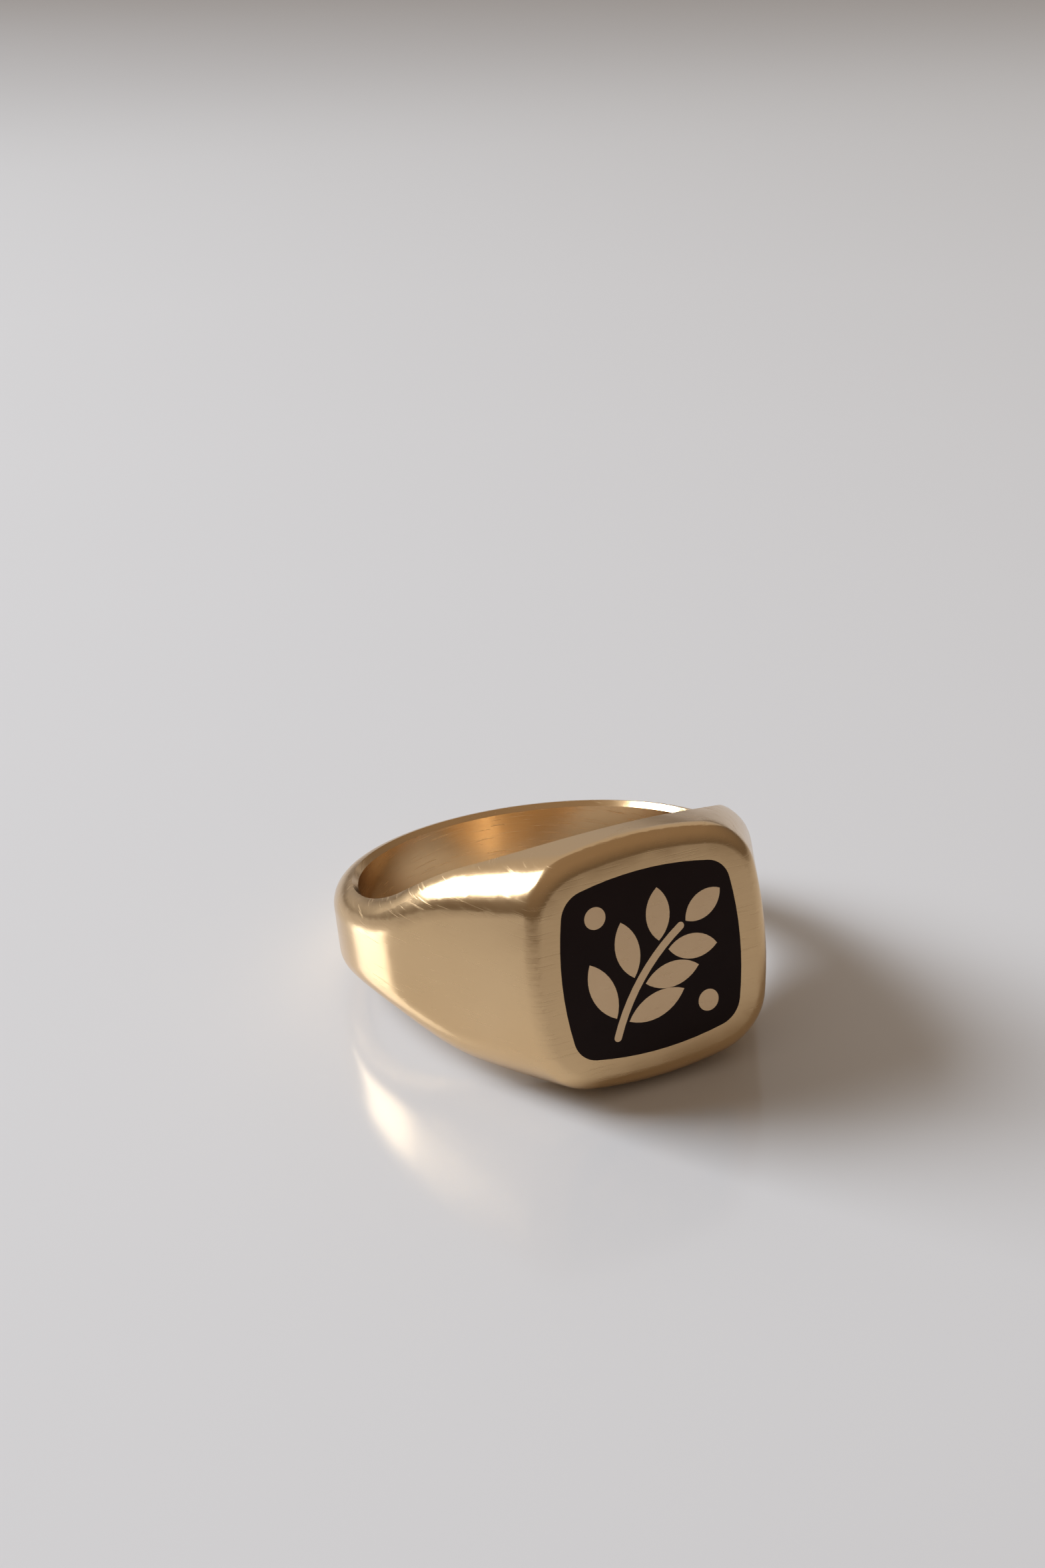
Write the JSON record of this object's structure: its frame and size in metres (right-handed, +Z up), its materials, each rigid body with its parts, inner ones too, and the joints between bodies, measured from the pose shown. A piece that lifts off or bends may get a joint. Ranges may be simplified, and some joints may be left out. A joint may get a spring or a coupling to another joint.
{
  "type": "signet ring",
  "caption": "Polished gold signet ring with a cushion-shaped flat head, black enamel set flush in its face around a gold leaf sprig, flat cheeks and a narrow domed shank.",
  "frame": {"origin": "bottom centre of the bounding box of the ring lying on its side, as it rests on a table", "axes": "+Z up from the surface, -Y the way the head faces, +X to the right seen from the head; the bore leans off +Z by the angle at which the tall head and the narrow shank both touch the surface"},
  "size_m": [0.02, 0.0218, 0.0113],
  "materials": {
    "cast_gold": "polished",
    "inlay_gold": "satin",
    "enamel": "gloss"
  },
  "bodies": {
    "root": {"enamel_field": "enamel", "ring_body": "cast_gold", "sprig_berry_1": "inlay_gold", "sprig_berry_2": "inlay_gold", "sprig_leaf_1": "inlay_gold", "sprig_leaf_2": "inlay_gold", "sprig_leaf_3": "inlay_gold", "sprig_leaf_4": "inlay_gold", "sprig_leaf_5": "inlay_gold", "sprig_leaf_6": "inlay_gold", "sprig_stem": "inlay_gold", "sprig_tip_leaf": "inlay_gold"}
  },
  "joints": []
}
